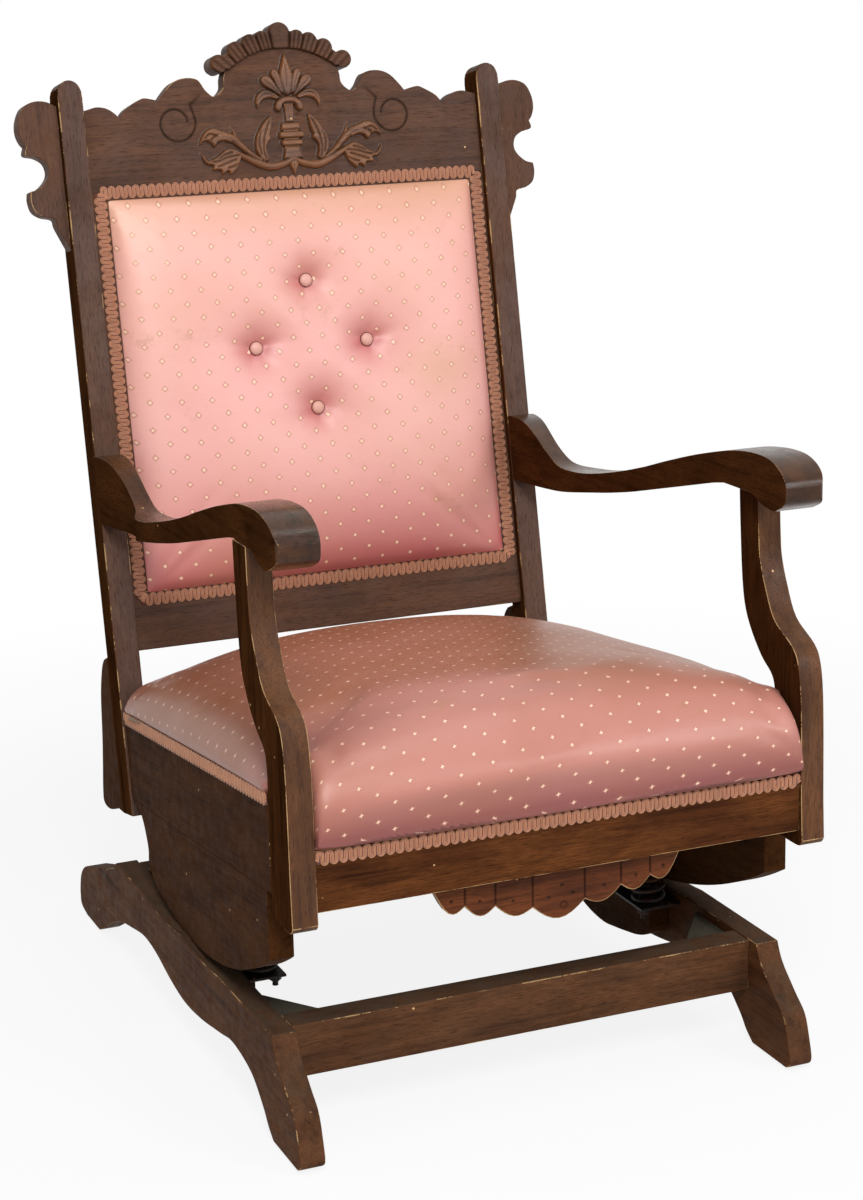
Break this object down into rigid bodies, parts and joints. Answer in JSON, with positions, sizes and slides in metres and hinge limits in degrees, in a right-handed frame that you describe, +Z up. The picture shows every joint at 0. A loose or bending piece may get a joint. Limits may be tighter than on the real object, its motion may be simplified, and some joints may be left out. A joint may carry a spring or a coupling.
{
  "type": "platform rocker",
  "caption": "Upholstered armchair on curved rockers that roll on a fixed base and are held by coil springs; carved crest with a scalloped fan",
  "frame": {"origin": "centre of the overall footprint, on the floor under the glides", "axes": "+Z up; the sitter faces -Y; +X is the right-hand side seen from the front"},
  "size_m": [0.6284, 0.7941, 1.0489],
  "materials": {
    "dark_wood": "worn satin varnish over dark walnut stain",
    "hidden_wood": "unfinished, dusty",
    "iron": "dark japanned, lightly rusted",
    "glide": "worn pale glide",
    "back_fabric": "satin-weave upholstery with small motifs",
    "seat_fabric": "satin-weave upholstery with small motifs, soiled",
    "braid": "woven scroll gimp",
    "button_fabric": "fabric-covered buttons",
    "webbing": "jute webbing",
    "cambric": "black cambric"
  },
  "bodies": {
    "base": {"base_side_left": "dark_wood", "base_side_right": "dark_wood", "base_stretcher_front": "dark_wood", "base_stretcher_rear": "dark_wood", "corner_block_front_left": "hidden_wood", "corner_block_front_right": "hidden_wood", "corner_block_rear_left": "hidden_wood", "corner_block_rear_right": "hidden_wood", "glides": "glide", "spring_cleat_left": "dark_wood", "spring_cleat_right": "dark_wood", "spring_plate_lower_left": "iron", "spring_plate_lower_right": "iron", "spring_front_left": "iron", "spring_front_right": "iron", "spring_rear_left": "iron", "spring_rear_right": "iron"},
    "chair": {"spring_plate_upper_left": "iron", "spring_plate_upper_right": "iron", "rocker_left": "dark_wood", "rocker_right": "dark_wood", "side_rail_left": "dark_wood", "side_rail_right": "dark_wood", "front_post_left": "dark_wood", "front_post_right": "dark_wood", "arm_left": "dark_wood", "arm_right": "dark_wood", "back_post_left": "dark_wood", "back_post_right": "dark_wood", "rear_leg_left": "dark_wood", "rear_leg_right": "dark_wood", "ear_left": "dark_wood", "ear_right": "dark_wood", "back_stile_left": "hidden_wood", "back_stile_right": "hidden_wood", "front_rail": "dark_wood", "rear_rail": "hidden_wood", "apron": "dark_wood", "seat_corner_blocks": "hidden_wood", "seat_webbing": "webbing", "dust_cover": "cambric", "crest_rail": "dark_wood", "crest_fan": "dark_wood", "lower_back_rail": "dark_wood", "back_cover": "back_fabric", "back_pad": "back_fabric", "back_buttons": "button_fabric", "back_gimp": "braid", "seat_cushion": "seat_fabric", "seat_gimp": "braid"}
  },
  "joints": [
    {"name": "rock", "type": "hinge", "parent": "base", "child": "chair", "pos_m": [0, -0.019, 0.117], "axis": [-1, 0, 0], "range_deg": [-6, 7], "stiffness_Nm_per_rad": 200, "springref_deg": -0.91, "deforming": ["spring_front_left", "spring_front_right", "spring_rear_left", "spring_rear_right"]}
  ]
}
